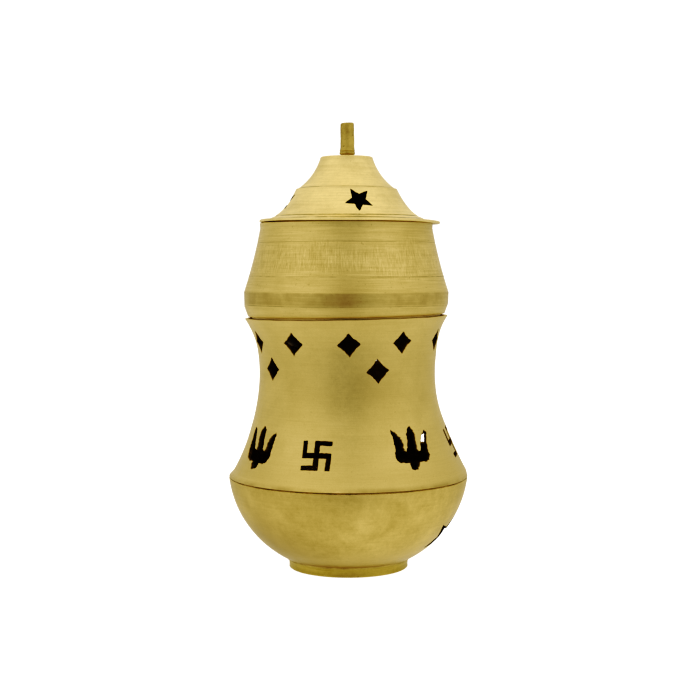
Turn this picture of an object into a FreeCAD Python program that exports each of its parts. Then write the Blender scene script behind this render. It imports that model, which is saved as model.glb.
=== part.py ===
"""Brass incense burner: a pierced stand, a cup that hangs in its mouth, a lid, and a fuel dish inside.

Millimetres, +Z up. The origin is the centre of the face it stands on. Turns are degrees about +Z,
counted from the front, which faces -Y, towards +X. Every size is a cell of the "sizes" sheet.
"""

import FreeCAD, Part

import math
import os

import Sketcher

DRIVING_SIZES = {
    "total_height": 152.4,
    "wall": 1.2,
    # foot ring
    "foot_radius": 20.4,
    "foot_top_radius": 20.9,
    "foot_thick": 1.7,
    "foot_flute_radius": 6.0,
    # bowl
    "base_radius": 17.0,
    "base_height": 1.6,
    "bowl_bulge_radius": 36.4,
    "seam_radius": 41.1,
    "seam_height": 31.5,
    "seam_groove": 0.25,
    # waist
    "skirt_top_radius": 33.4,
    "skirt_top_height": 49.2,
    "skirt_sweep_radius": 87.0,
    "neck_top_radius": 30.6,
    "neck_top_height": 74.1,
    "neck_sweep_radius": 52.1,
    "mouth_radius": 34.8,
    "mouth_height": 86.4,
    "mouth_sweep_radius": 26.1,
    # cup
    "cup_rim_radius": 29.6,
    "cup_rim_height": 118.3,
    "cup_bead_height": 1.8,
    "cup_throat_radius": 29.45,
    "cup_sweep_radius": 166.0,
    "band_radius": 35.05,
    "band_top_height": 95.0,
    "band_height": 4.2,
    "band_foot_radius": 34.85,
    "shoulder_radius": 33.5,
    "shoulder_height": 87.35,
    "neck_fit_radius": 32.3,
    "neck_fit_height": 2.1,
    "cup_bottom_height": 73.5,
    "cup_bottom_sweep_radius": 47.5,
    "cup_floor_radius": 9.0,
    # lid
    "lid_wall": 1.0,
    "lid_gap": 0.1,
    "brim_radius": 30.9,
    "brim_offset": 1.25,
    "brim_edge_round": 0.35,
    "cone_foot_radius": 27.4,
    "cone_foot_sweep_radius": 12.5,
    "cone_low_radius": 21.9,
    "cone_low_height": 122.8,
    "cone_low_sweep_radius": 29.0,
    "step_radius": 17.0,
    "step_height": 130.1,
    "cone_top_radius": 8.85,
    "cone_top_height": 140.9,
    "cone_top_sweep_radius": 19.7,
    # locating ring under the lid
    "lid_ring_radius": 27.9,
    "lid_ring_thick": 0.8,
    "lid_ring_height": 3.4,
    # stem and its washer
    "stem_radius": 2.25,
    "stem_foot_radius": 2.6,
    "stem_foot_height": 3.4,
    "stem_groove_radius": 2.15,
    "stem_groove_height": 0.8,
    "stem_collar_height": 0.9,
    "stem_flare_radius": 6.0,
    "stem_tip_bevel": 0.2,
    "tail_radius": 1.5,
    "tail_slip": 0.05,
    "tail_head_radius": 2.4,
    "tail_head_height": 1.1,
    "washer_radius": 4.2,
    "washer_thick": 0.8,
    # dish
    "dish_base_radius": 12.0,
    "dish_rim_radius": 18.0,
    "dish_height": 12.0,
    "dish_wall": 0.8,
    "dish_sweep_radius": 16.0,
    # openings in the waist, the lid and the bowl
    "saw_reach": 60.0,
    "diamond_width": 7.3,
    "diamond_tall": 7.6,
    "upper_row_height": 78.5,
    "upper_row_radius": 31.4,
    "upper_row_lean": -14,
    "second_row_height": 69.5,
    "second_row_radius": 30.2,
    "second_row_lean": 0,
    "trident_width": 14.0,
    "trident_tall": 14.3,
    "trident_prong_sweep_radius": 6.0,
    "swastika_width": 10.2,
    "swastika_bar": 1.7,
    "skirt_row_radius": 35.2,
    "skirt_row_height": 43.9,
    "skirt_row_lean": 20,
    "lid_star_radius": 4.9,
    "lid_star_lean": 45.0,
    "lid_star_turn": 29.3,
    "lid_star_place_radius": 19.9,
    "lid_star_place_height": 125.5,
    "star_inner_share": 0.45,
    "vent_radius": 9.2,
    "vent_height": 12.3,
    "vent_place_radius": 33.0,
    "vent_lean": -42.0,
    "vent_turn": 76.0,
    "vent_tilt": -14.0,
}

# The openings were marked out by eye, so their turns are only nearly even. Those in the skirt also
# stand a little above or below the height of their row, so each of them is a turn and a rise.
UPPER_DIAMOND_TURNS = (-70, -34, 1, 35.5, 72, 109, 145, 181, 217, 253)
SECOND_DIAMOND_TURNS = (-54, 19.5, 91, 163, 234)
TRIDENT_PLACES = ((-57.5, -0.3), (36.5, 0.7), (125, 0), (214, 0.6))
SWASTIKA_PLACES = ((-17, -1.1), (80.5, 0.1), (163, -0.5), (262, -0.9))
LID_STAR_TURNS = (-84, 12, 98, 184)


class Size(float):
    """A number that also knows the sheet formula it comes from, so that one sum gives both."""

    def __new__(cls, value, formula):
        made = super().__new__(cls, value)
        made.formula = formula
        return made

    def __add__(self, other):
        return Size(float(self) + float(other), f"({self.formula} + {formula_of(other)})")

    def __sub__(self, other):
        return Size(float(self) - float(other), f"({self.formula} - {formula_of(other)})")

    def __mul__(self, other):
        return Size(float(self) * float(other), f"({self.formula} * {formula_of(other)})")

    def __truediv__(self, other):
        return Size(float(self) / float(other), f"({self.formula} / {formula_of(other)})")

    def __rsub__(self, other):
        return Size(float(other) - float(self), f"({formula_of(other)} - {self.formula})")

    def __neg__(self):
        return Size(-float(self), f"(-{self.formula})")


def formula_of(value):
    return value.formula if isinstance(value, Size) else str(value)


def root(value):
    return Size(math.sqrt(value), f"sqrt({value.formula})")


class Sizes:
    """The driving sizes by name, each bound to its cell."""

    def __init__(self, values):
        for name, value in values.items():
            setattr(self, name, Size(value, f"sizes.{name}"))


size = Sizes(DRIVING_SIZES)
doc = FreeCAD.newDocument("IncenseBurner")


def make_sheet():
    sheet = doc.addObject("Spreadsheet::Sheet", "sizes")
    for row, (name, value) in enumerate(DRIVING_SIZES.items(), start=1):
        sheet.set(f"A{row}", name)
        sheet.set(f"B{row}", str(value))
        sheet.setAlias(f"B{row}", name)
    doc.recompute()


def body_named(label):
    body = doc.addObject("PartDesign::Body", label)
    body.Label = label
    return body


def upright_sketch(body, name):
    """A sketch in the body's own XZ plane: its x is the radius and its y is the height."""
    plane = next(f for f in body.Origin.OriginFeatures if f.Role == "XZ_Plane")
    sketch = body.newObject("Sketcher::SketchObject", name)
    sketch.AttachmentSupport = [(plane, "")]
    sketch.MapMode = "FlatFace"
    return sketch


def flat_sketch(body, name):
    """A sketch parallel to the body's own XY plane."""
    plane = next(f for f in body.Origin.OriginFeatures if f.Role == "XY_Plane")
    sketch = body.newObject("Sketcher::SketchObject", name)
    sketch.AttachmentSupport = [(plane, "")]
    sketch.MapMode = "FlatFace"
    return sketch


def bind(sketch, index, value):
    if isinstance(value, Size):
        sketch.setExpression(f"Constraints[{index}]", value.formula)


def arc_between(start, end, radius):
    """The short arc from start to end. A positive radius turns left on the way, a negative one right."""
    chord = end - start
    half = chord.Length / 2
    rise = math.sqrt(radius * radius - half * half)
    side = FreeCAD.Vector(-chord.y, chord.x, 0).normalize() * math.copysign(rise, radius)
    centre = (start + end) / 2 + side
    angles = [math.atan2(p.y - centre.y, p.x - centre.x) for p in (start, end)]
    if radius < 0:
        angles.reverse()
    circle = Part.Circle(centre, FreeCAD.Vector(0, 0, 1), abs(radius))
    return Part.ArcOfCircle(circle, angles[0], angles[1])


def draw_outline(sketch, points):
    """A closed outline. Each point is (x, y) or (x, y, radius), the radius of the arc to the next point."""
    count = len(points)
    places = [FreeCAD.Vector(float(p[0]), float(p[1]), 0) for p in points]
    ends = []
    for i, point in enumerate(points):
        start, end = places[i], places[(i + 1) % count]
        if len(point) == 2:
            edge = sketch.addGeometry(Part.LineSegment(start, end), False)
            ends.append((edge, 1, 2))
            continue
        edge = sketch.addGeometry(arc_between(start, end, float(point[2])), False)
        ends.append((edge, 1, 2) if point[2] > 0 else (edge, 2, 1))
    for i in range(count):
        edge, _, last = ends[i]
        following, first, _ = ends[(i + 1) % count]
        sketch.addConstraint(Sketcher.Constraint("Coincident", edge, last, following, first))
    for i, point in enumerate(points):
        edge, first, _ = ends[i]
        for kind, value in (("DistanceX", point[0]), ("DistanceY", point[1])):
            index = sketch.addConstraint(Sketcher.Constraint(kind, -1, 1, edge, first, float(value)))
            bind(sketch, index, value)
        if len(point) == 3:
            radius = point[2] if point[2] > 0 else -point[2]
            index = sketch.addConstraint(Sketcher.Constraint("Radius", edge, float(radius)))
            bind(sketch, index, radius)


def draw_circle(sketch, centre_x, radius):
    centre = FreeCAD.Vector(float(centre_x), 0, 0)
    circle = sketch.addGeometry(Part.Circle(centre, FreeCAD.Vector(0, 0, 1), float(radius)), False)
    index = sketch.addConstraint(Sketcher.Constraint("Radius", circle, float(radius)))
    bind(sketch, index, radius)
    index = sketch.addConstraint(Sketcher.Constraint("DistanceX", -1, 1, circle, 3, float(centre_x)))
    bind(sketch, index, centre_x)
    sketch.addConstraint(Sketcher.Constraint("PointOnObject", circle, 3, -1))


def turned(body, name, outline):
    """The outline turned about the body's Z axis, as on a lathe."""
    sketch = upright_sketch(body, name + "_outline")
    draw_outline(sketch, outline)
    feature = body.newObject("PartDesign::Revolution", name)
    feature.Profile = sketch
    feature.ReferenceAxis = (sketch, ["V_Axis"])
    feature.Angle = 360
    sketch.Visibility = False
    return feature


def pierce(body, name, outline, turn, place, lean):
    """Saws the outline outward from the body's axis, through the wall on one side.

    place is the radius and height at which the middle of the outline leaves the wall, turn its
    turn about +Z, and lean how far its outward direction tips up.
    """
    sketch = upright_sketch(body, name + "_outline")
    draw_outline(sketch, outline)
    radius, height = place
    start = height - radius * math.tan(math.radians(lean))
    about_axis = FreeCAD.Rotation(FreeCAD.Vector(0, 1, 0), float(turn))
    tip_up = FreeCAD.Rotation(FreeCAD.Vector(1, 0, 0), -float(lean))
    sketch.AttachmentOffset = FreeCAD.Placement(FreeCAD.Vector(0, float(start), 0), about_axis * tip_up)
    sketch.setExpression("AttachmentOffset.Base.y", start.formula)
    pocket = body.newObject("PartDesign::Pocket", name)
    pocket.Profile = sketch
    pocket.Type = 0
    pocket.Reversed = True
    pocket.Length = float(size.saw_reach)
    pocket.setExpression("Length", size.saw_reach.formula)
    sketch.Visibility = False
    return pocket


def pierce_row(body, name, outline, places, row):
    """Saws the outline at each turn and rise. The row's radius, height and lean are in the sheet."""
    radius = getattr(size, row + "_radius")
    height = getattr(size, row + "_height")
    lean = getattr(size, row + "_lean")
    for number, (turn, rise) in enumerate(places, start=1):
        pierce(body, f"{name}_{number}", outline, turn, (radius, height + rise), lean)


def hollowed(body, name, wall, opening_heights):
    """Leaves a wall of even thickness, open at the flat faces that stand at the given heights."""
    solid = body.Tip
    doc.recompute()
    flat = [
        f"Face{number}"
        for number, face in enumerate(solid.Shape.Faces, start=1)
        if face.BoundBox.ZLength < 1e-6
        and any(abs(face.CenterOfMass.z - height) < 1e-6 for height in opening_heights)
    ]
    shell = body.newObject("PartDesign::Thickness", name)
    shell.Base = (solid, flat)
    shell.Value = float(wall)
    shell.setExpression("Value", wall.formula)
    shell.Reversed = True
    shell.Join = 1
    return shell


def bowl_centre():
    """The centre of the arc that the outside of the bowl follows."""
    across = size.seam_radius - size.base_radius
    up = size.seam_height - size.seam_groove - size.base_height
    chord = root(across * across + up * up)
    reach = root(size.bowl_bulge_radius * size.bowl_bulge_radius - chord * chord / 4)
    middle_radius = (size.base_radius + size.seam_radius) / 2
    middle_height = (size.base_height + size.seam_height - size.seam_groove) / 2
    return middle_radius - up * reach / chord, middle_height + across * reach / chord


def under_bowl(radius):
    """The height of the outside of the bowl at a radius."""
    centre_radius, centre_height = bowl_centre()
    out = radius - centre_radius
    return centre_height - root(size.bowl_bulge_radius * size.bowl_bulge_radius - out * out)


def make_foot_ring():
    body = body_named("foot_ring")
    inner = size.foot_radius - size.foot_thick
    outline = [
        (inner, 0),
        (size.foot_radius, 0, -size.foot_flute_radius),
        (size.foot_top_radius, under_bowl(size.foot_top_radius), -size.bowl_bulge_radius),
        (inner, under_bowl(inner)),
    ]
    turned(body, "foot_turning", outline)


def make_bowl():
    body = body_named("bowl")
    rim = size.seam_height
    outline = [
        (0, size.base_height),
        (size.base_radius, size.base_height, size.bowl_bulge_radius),
        (size.seam_radius, rim - size.seam_groove),
        (size.seam_radius - size.seam_groove, rim),
        (0, rim),
    ]
    turned(body, "bowl_turning", outline)
    hollowed(body, "bowl_hollow", size.wall, [rim])
    pierce(
        body,
        "side_vent",
        star(size.vent_radius, size.vent_tilt),
        size.vent_turn,
        (size.vent_place_radius, size.vent_height),
        size.vent_lean,
    )


def make_waist():
    body = body_named("waist")
    outline = [
        (0, size.seam_height),
        (size.seam_radius - size.seam_groove, size.seam_height),
        (size.seam_radius, size.seam_height + size.seam_groove, -size.skirt_sweep_radius),
        (size.skirt_top_radius, size.skirt_top_height, -size.neck_sweep_radius),
        (size.neck_top_radius, size.neck_top_height, -size.mouth_sweep_radius),
        (size.mouth_radius, size.mouth_height),
        (0, size.mouth_height),
    ]
    turned(body, "waist_turning", outline)
    hollowed(body, "waist_hollow", size.wall, [size.seam_height, size.mouth_height])
    level = [(turn, 0) for turn in UPPER_DIAMOND_TURNS]
    pierce_row(body, "upper_diamond", diamond(), level, "upper_row")
    level = [(turn, 0) for turn in SECOND_DIAMOND_TURNS]
    pierce_row(body, "second_diamond", diamond(), level, "second_row")
    pierce_row(body, "trident", trident(), TRIDENT_PLACES, "skirt_row")
    pierce_row(body, "swastika", swastika(), SWASTIKA_PLACES, "skirt_row")


def make_cup():
    body = body_named("cup")
    band_foot = size.band_top_height - size.band_height
    outline = [
        (0, size.cup_bottom_height),
        (size.cup_floor_radius, size.cup_bottom_height, size.cup_bottom_sweep_radius),
        (size.neck_fit_radius, size.shoulder_height - size.neck_fit_height),
        (size.neck_fit_radius, size.shoulder_height),
        (size.shoulder_radius, size.shoulder_height),
        (size.band_foot_radius, band_foot),
        (size.band_radius, size.band_top_height, -size.cup_sweep_radius),
        (size.cup_throat_radius, size.cup_rim_height - size.cup_bead_height),
        (size.cup_rim_radius, size.cup_rim_height),
        (0, size.cup_rim_height),
    ]
    turned(body, "cup_turning", outline)
    hollowed(body, "cup_hollow", size.wall, [size.cup_rim_height])


def diamond():
    half_width = size.diamond_width / 2
    half_tall = size.diamond_tall / 2
    return [(-half_width, 0), (0, -half_tall), (half_width, 0), (0, half_tall)]


def star(radius, turn):
    """A five-pointed star, one point up before it is turned, as (x, y) corners."""
    corners = []
    for step in range(10):
        angle = math.radians(90 + float(turn) + 36 * step)
        reach = radius * size.star_inner_share if step % 2 else radius
        corners.append((reach * math.cos(angle), reach * math.sin(angle)))
    return corners


def swastika():
    """The Hindu sign of good fortune: four bent arms, each a quarter turn from the last."""
    half_bar = size.swastika_bar / 2
    reach = size.swastika_width / 2
    bend = reach - size.swastika_bar
    arm = [(half_bar, half_bar), (half_bar, bend), (reach, bend), (reach, reach), (-half_bar, reach)]
    corners = []
    for _ in range(4):
        corners.extend(arm)
        arm = [(-y, x) for x, y in arm]
    return corners


# Half of the trident as shares of its width and its height, from the middle prong's tip to the
# end of the shaft. The arc is the inner side of the outer prong.
TRIDENT_HALF = (
    (0, 0.5),
    (0.12, 0.3),
    (0.135, -0.055),
    (0.23, -0.075, "arc"),
    (0.5, 0.4),
    (0.465, 0.04),
    (0.49, -0.18),
    (0.4, -0.315),
    (0.1, -0.325),
    (0.085, -0.5),
)


def trident():
    sweep = size.trident_prong_sweep_radius
    right = []
    for x, y, *arc in TRIDENT_HALF:
        right.append((size.trident_width * x, size.trident_tall * y, *[-sweep for _ in arc]))
    left = [(-corner[0], corner[1]) for corner in reversed(right[1:])]
    tip = next(i for i, corner in enumerate(TRIDENT_HALF) if len(corner) == 3) + 1
    left[len(right) - 1 - tip] += (-sweep,)
    return right + left


def make_lid():
    """A spun cone in two steps, with a flat brim that was cut a little off centre."""
    body = body_named("lid")
    brim_bottom = size.cup_rim_height + size.lid_gap
    brim_top = brim_bottom + size.lid_wall
    outline = [
        (0, brim_bottom),
        (size.cone_foot_radius, brim_bottom),
        (size.cone_foot_radius, brim_top, -size.cone_foot_sweep_radius),
        (size.cone_low_radius, size.cone_low_height, -size.cone_low_sweep_radius),
        (size.step_radius, size.step_height, -size.cone_top_sweep_radius),
        (size.cone_top_radius, size.cone_top_height),
        (0, size.cone_top_height),
    ]
    turned(body, "cone_turning", outline)
    hollowed(body, "cone_hollow", size.lid_wall, [brim_bottom])
    brim = flat_sketch(body, "brim_outline")
    brim.AttachmentOffset = FreeCAD.Placement(FreeCAD.Vector(0, 0, float(brim_bottom)), FreeCAD.Rotation())
    brim.setExpression("AttachmentOffset.Base.z", brim_bottom.formula)
    draw_circle(brim, size.brim_offset, size.brim_radius)
    draw_circle(brim, 0, size.cone_foot_radius - size.lid_wall / 2)
    plate = body.newObject("PartDesign::Pad", "brim")
    plate.Profile = brim
    plate.Length = float(size.lid_wall)
    plate.setExpression("Length", size.lid_wall.formula)
    brim.Visibility = False
    hole = flat_sketch(body, "tail_hole_outline")
    draw_circle(hole, 0, size.tail_radius + size.tail_slip)
    drilled = body.newObject("PartDesign::Pocket", "tail_hole")
    drilled.Profile = hole
    drilled.Type = 1
    drilled.Reversed = True
    hole.Visibility = False
    for number, turn in enumerate(LID_STAR_TURNS, start=1):
        place = (size.lid_star_place_radius, size.lid_star_place_height)
        outline = star(size.lid_star_radius, size.lid_star_turn)
        pierce(body, f"lid_star_{number}", outline, turn, place, size.lid_star_lean)


def make_lid_ring():
    body = body_named("lid_ring")
    top = size.cup_rim_height + size.lid_gap
    inner = size.lid_ring_radius - size.lid_ring_thick
    bottom = top - size.lid_ring_height
    outline = [(inner, bottom), (size.lid_ring_radius, bottom), (size.lid_ring_radius, top), (inner, top)]
    turned(body, "ring_turning", outline)


def make_stem():
    """A turned rod whose tail passes through the lid and is peened over a washer."""
    body = body_named("lid_stem")
    base = size.cone_top_height
    seat = base - size.lid_wall - size.washer_thick
    foot = base + size.stem_groove_height
    outline = [
        (0, seat - size.tail_head_height),
        (size.tail_head_radius, seat),
        (size.tail_radius, seat),
        (size.tail_radius, base),
        (size.stem_groove_radius, base),
        (size.stem_groove_radius, foot),
        (size.stem_foot_radius, foot),
        (size.stem_foot_radius, foot + size.stem_collar_height, -size.stem_flare_radius),
        (size.stem_radius, foot + size.stem_foot_height),
        (size.stem_radius, size.total_height - size.stem_tip_bevel),
        (size.stem_radius - size.stem_tip_bevel, size.total_height),
        (0, size.total_height),
    ]
    turned(body, "stem_turning", outline)


def make_washer():
    body = body_named("stem_washer")
    top = size.cone_top_height - size.lid_wall
    bottom = top - size.washer_thick
    hole = size.tail_radius + size.tail_slip
    outline = [(hole, bottom), (size.washer_radius, bottom), (size.washer_radius, top), (hole, top)]
    turned(body, "washer_turning", outline)


def make_dish():
    """A small open dish for the burning camphor or charcoal, loose on the floor of the bowl."""
    body = body_named("fuel_dish")
    bottom = size.base_height + size.wall + size.lid_gap
    outline = [
        (0, bottom),
        (size.dish_base_radius, bottom, size.dish_sweep_radius),
        (size.dish_rim_radius, bottom + size.dish_height),
        (0, bottom + size.dish_height),
    ]
    turned(body, "dish_turning", outline)
    hollowed(body, "dish_hollow", size.dish_wall, [bottom + size.dish_height])


def checked_parts():
    """Every sub-part, once the whole document has been found sound."""
    doc.recompute()
    failed = [item.Name for item in doc.Objects if "Invalid" in item.State or "Error" in item.State]
    if failed:
        raise RuntimeError(f"these objects failed to build: {failed}")
    parts = [item for item in doc.Objects if item.TypeId == "PartDesign::Body"]
    for part in parts:
        if part.Shape.isNull() or not part.Shape.isValid() or len(part.Shape.Solids) != 1:
            raise RuntimeError(f"{part.Label} is not one sound solid")
    return parts


def main():
    make_sheet()
    make_foot_ring()
    make_bowl()
    make_waist()
    make_cup()
    make_lid()
    make_lid_ring()
    make_stem()
    make_washer()
    make_dish()
    os.makedirs("parts", exist_ok=True)
    for part in checked_parts():
        part.Shape.exportStep(f"parts/{part.Label}.step")
        print(f"{part.Label}: {part.Shape.Volume:.1f} mm3")


main()
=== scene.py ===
"""The looks of the brass incense burner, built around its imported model.

Blender's objects are in metres. The outlines here are in millimetres, and MM makes metres of them.
Turns are degrees about +Z, counted from the front, which faces -Y, towards +X. A corner of an
outline is (radius, height), and a third number is the radius of the arc to the next corner.
"""

import math
import random

import bmesh
import bpy
from mathutils import Matrix, Vector, noise


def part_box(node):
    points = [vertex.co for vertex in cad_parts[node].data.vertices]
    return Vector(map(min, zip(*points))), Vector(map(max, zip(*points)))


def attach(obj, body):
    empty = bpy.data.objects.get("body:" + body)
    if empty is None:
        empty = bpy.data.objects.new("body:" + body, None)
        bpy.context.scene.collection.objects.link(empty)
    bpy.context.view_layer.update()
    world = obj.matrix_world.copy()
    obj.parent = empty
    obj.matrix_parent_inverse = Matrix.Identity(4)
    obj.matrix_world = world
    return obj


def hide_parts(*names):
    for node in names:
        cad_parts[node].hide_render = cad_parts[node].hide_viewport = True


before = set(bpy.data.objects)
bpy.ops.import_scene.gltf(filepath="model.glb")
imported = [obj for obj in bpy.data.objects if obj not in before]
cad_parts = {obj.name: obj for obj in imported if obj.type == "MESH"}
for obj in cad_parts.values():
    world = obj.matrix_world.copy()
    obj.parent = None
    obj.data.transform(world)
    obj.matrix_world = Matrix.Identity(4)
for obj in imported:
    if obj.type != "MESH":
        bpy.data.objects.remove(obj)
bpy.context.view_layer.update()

MM = 0.001

# how many faces go round a ring, and how far apart the points of outer and inner outlines are
SEGMENTS = 288
OUTER_STEP = 0.45
INNER_STEP = 1.2

WALL = 1.2
LID_WALL = 1.0

# how far to the right of the axis the hand-made pieces sit
FOOT_LEAN = 0.42
BOWL_LEAN = 0.33
CUP_LEAN = -0.33
LID_LEAN = -0.25

# how far the stand then wanders: right at the skirt, left at its middle and left at the mouth
SKIRT_SHIFT = 0.62
MIDDLE_SHIFT = 0.95
MOUTH_SHIFT = 0.33


def low(name):
    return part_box(name)[0] / MM


def high(name):
    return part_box(name)[1] / MM


# -------- sizes taken from the frame, in mm

FOOT_TOP_RADIUS = high("foot_ring").x
FOOT_TOP_HEIGHT = high("foot_ring").z
BASE_HEIGHT = low("bowl").z
SEAM_HEIGHT = low("waist").z
SEAM_RADIUS = high("waist").x
MOUTH_HEIGHT = high("waist").z
CUP_BOTTOM = low("cup").z
CUP_RIM = high("cup").z
BAND_RADIUS = high("cup").x
BRIM_BOTTOM = low("lid").z
BRIM_RADIUS = (high("lid").x - low("lid").x) / 2
BRIM_OFFSET = (high("lid").x + low("lid").x) / 2
LID_TOP = high("lid").z
RING_RADIUS = high("lid_ring").x
RING_BOTTOM = low("lid_ring").z
STEM_TOP = high("lid_stem").z
TAIL_BOTTOM = low("lid_stem").z
WASHER_RADIUS = high("stem_washer").x
WASHER_BOTTOM = low("stem_washer").z
WASHER_TOP = high("stem_washer").z
DISH_RADIUS = high("fuel_dish").x
DISH_BOTTOM = low("fuel_dish").z
DISH_TOP = high("fuel_dish").z


# -------- outlines and turned shells


def arc_points(start, end, radius, step):
    """Points from start up to, not including, end. A positive radius turns left on the way."""
    chord = end - start
    if radius is None:
        count = max(1, math.ceil(chord.length / step))
        return [start.lerp(end, i / count) for i in range(count)]
    side = Vector((-chord.y, chord.x)).normalized()
    rise = math.sqrt(radius * radius - chord.length_squared / 4)
    centre = (start + end) / 2 + side * math.copysign(rise, radius)
    sweep = 2 * math.asin(chord.length / 2 / abs(radius)) * math.copysign(1, radius)
    count = max(2, math.ceil(abs(sweep * radius) / step))
    arm = start - centre
    return [centre + Matrix.Rotation(sweep * i / count, 2) @ arm for i in range(count)]


def trace(corners, step=OUTER_STEP):
    """Close points along corners given as (radius, height) or (radius, height, arc to the next)."""
    points = []
    for here, there in zip(corners, corners[1:]):
        radius = here[2] if len(here) == 3 else None
        points.extend(arc_points(Vector(here[:2]), Vector(there[:2]), radius, step))
    points.append(Vector(corners[-1][:2]))
    return points


def inside_of(points, wall):
    """The inner side of a shell, one wall away from its outer side and running backwards."""
    inner = []
    for i, point in enumerate(points):
        along = points[min(i + 1, len(points) - 1)] - points[max(i - 1, 0)]
        inward = Vector((-along.y, along.x)).normalized()
        moved = point + inward * wall
        if not inner or (moved - inner[-1]).dot(along) > 0.05:
            inner.append(moved)
    return inner[::-1]


def scribed(points, heights, width, depth):
    """Cuts a V-shaped line into the outline at each height."""
    for height in heights:
        kept = [p for p in points if abs(p.y - height) > width * 0.75]
        near = min(range(len(points)), key=lambda i: abs(points[i].y - height))
        radius = points[near].x
        slope = points[min(near + 1, len(points) - 1)] - points[max(near - 1, 0)]
        run = slope.x / slope.y
        sides = (-width / 2, 0, width / 2)
        notch = [Vector((radius + run * side, height + side)) for side in sides]
        notch[1].x -= depth
        place = next(i for i, p in enumerate(kept) if p.y > height)
        points = kept[:place] + notch + kept[place:]
    return points


def thin_out(points, step):
    """Drops points that are closer together than the step."""
    kept = [points[0]]
    for point in points[1:-1]:
        if (point - kept[-1]).length >= step:
            kept.append(point)
    return kept + [points[-1]]


def new_object(name, data):
    made = bpy.data.objects.new(name, data)
    bpy.context.scene.collection.objects.link(made)
    return made


def lathe(name, runs, materials, form=None, segments=SEGMENTS):
    """Turns a closed outline about the axis.

    runs are (points, material number) in order round the outline, the outside going up. form moves
    each finished point, given in mm.
    """
    outline = []
    for points, slot in runs:
        outline.extend((point, slot) for point in points)
    mesh = bpy.data.meshes.new(name)
    shell = bmesh.new()
    rings = []
    for point, _ in outline:
        if point.x < 1e-6:
            place = Vector((0, 0, point.y))
            rings.append([shell.verts.new((form(place) if form else place) * MM)])
            continue
        ring = []
        for i in range(segments):
            angle = 2 * math.pi * i / segments
            place = Vector((point.x * math.cos(angle), point.x * math.sin(angle), point.y))
            ring.append(shell.verts.new((form(place) if form else place) * MM))
        rings.append(ring)
    for i, (_, slot) in enumerate(outline):
        below, above = rings[i], rings[(i + 1) % len(rings)]
        for k in range(segments):
            n = (k + 1) % segments
            if len(below) == 1 and len(above) == 1:
                break
            if len(below) == 1:
                corners = (below[0], above[n], above[k])
            elif len(above) == 1:
                corners = (below[k], below[n], above[0])
            else:
                corners = (below[k], below[n], above[n], above[k])
            face = shell.faces.new(corners)
            face.material_index = slot
    bmesh.ops.recalc_face_normals(shell, faces=shell.faces)
    shell.to_mesh(mesh)
    shell.free()
    for material in materials:
        mesh.materials.append(material)
    return new_object(name, mesh)


def smooth(piece, corner_angle=32):
    mesh = piece.data
    mesh.shade_smooth()
    mesh.set_sharp_from_angle(angle=math.radians(corner_angle))


def ripple(point, size, amount, seed=0.0):
    """A smooth random number of the given amount that changes over the given size, in mm."""
    return amount * noise.noise(point / size + Vector((seed, seed * 1.7, seed * 0.3)))


def ease(value, start, end):
    share = min(1.0, max(0.0, (value - start) / (end - start)))
    return share * share * (3 - 2 * share)


def pushed_out(point, amount):
    """The point moved away from the axis."""
    flat = Vector((point.x, point.y, 0))
    if flat.length < 1e-6:
        return point
    return point + flat.normalized() * amount


def shift_aside(piece, amount):
    """Moves a finished piece to the right, in mm, as far off the axis as the real one sits."""
    piece.data.transform(Matrix.Translation((amount * MM, 0, 0)))


def stand_lean(height):
    """How far to the right the stand's middle is at a height. It was spun and brazed by hand."""
    skirt = SKIRT_SHIFT * ease(height, SEAM_HEIGHT, SEAM_HEIGHT + 2.5)
    middle = MIDDLE_SHIFT * ease(height, SEAM_HEIGHT + 4.5, SEAM_HEIGHT + 30)
    mouth = MOUTH_SHIFT * ease(height, NECK_TOP[1] - 2, MOUTH_HEIGHT - 3)
    return BOWL_LEAN + (skirt - middle) - mouth


# -------- sawn openings

# how far the saw goes inside and outside the wall, and how wide the filed chamfer is
SAW_REACH = (-4.0, 3.0)
FILED_EDGE = 0.12


def radius_at(outside, height):
    """The radius of a turned outline at a height."""
    for a, b in zip(outside, outside[1:]):
        if min(a.y, b.y) <= height <= max(a.y, b.y) and a.y != b.y:
            return a.x + (b.x - a.x) * (height - a.y) / (b.y - a.y)
    return outside[0].x if height < outside[0].y else outside[-1].x


def hand_sawn(corners, seed, bow=0.0, jitter=0.07, step=0.6):
    """The outline as a saw and a file leave it: its sides bow inward and its line wanders."""
    draw = random.Random(seed)
    middle = sum((Vector(c) for c in corners), Vector((0, 0))) / len(corners)
    points = []
    for i, corner in enumerate(corners):
        start, end = Vector(corner), Vector(corners[(i + 1) % len(corners)])
        count = max(1, round((end - start).length / step))
        inward = (middle - (start + end) / 2).normalized() if bow else Vector((0, 0))
        for k in range(count):
            share = k / count
            point = start.lerp(end, share) + inward * bow * 4 * share * (1 - share)
            wander = Vector((draw.uniform(-jitter, jitter), draw.uniform(-jitter, jitter)))
            points.append(point + wander)
    return points


def grown(points, amount):
    """The outline moved outward, for the chamfer that filing leaves. It runs anticlockwise."""
    moved = []
    for i, point in enumerate(points):
        before = (point - points[i - 1]).normalized()
        after = (points[(i + 1) % len(points)] - point).normalized()
        along = before + after
        if along.length < 0.3:
            along = after
        along.normalize()
        moved.append(point + Vector((along.y, -along.x)) * amount)
    return moved


def turned_and_sized(corners, degrees, share=1.0):
    turn = Matrix.Rotation(math.radians(degrees), 2)
    return [turn @ Vector(corner) * share for corner in corners]


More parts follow.
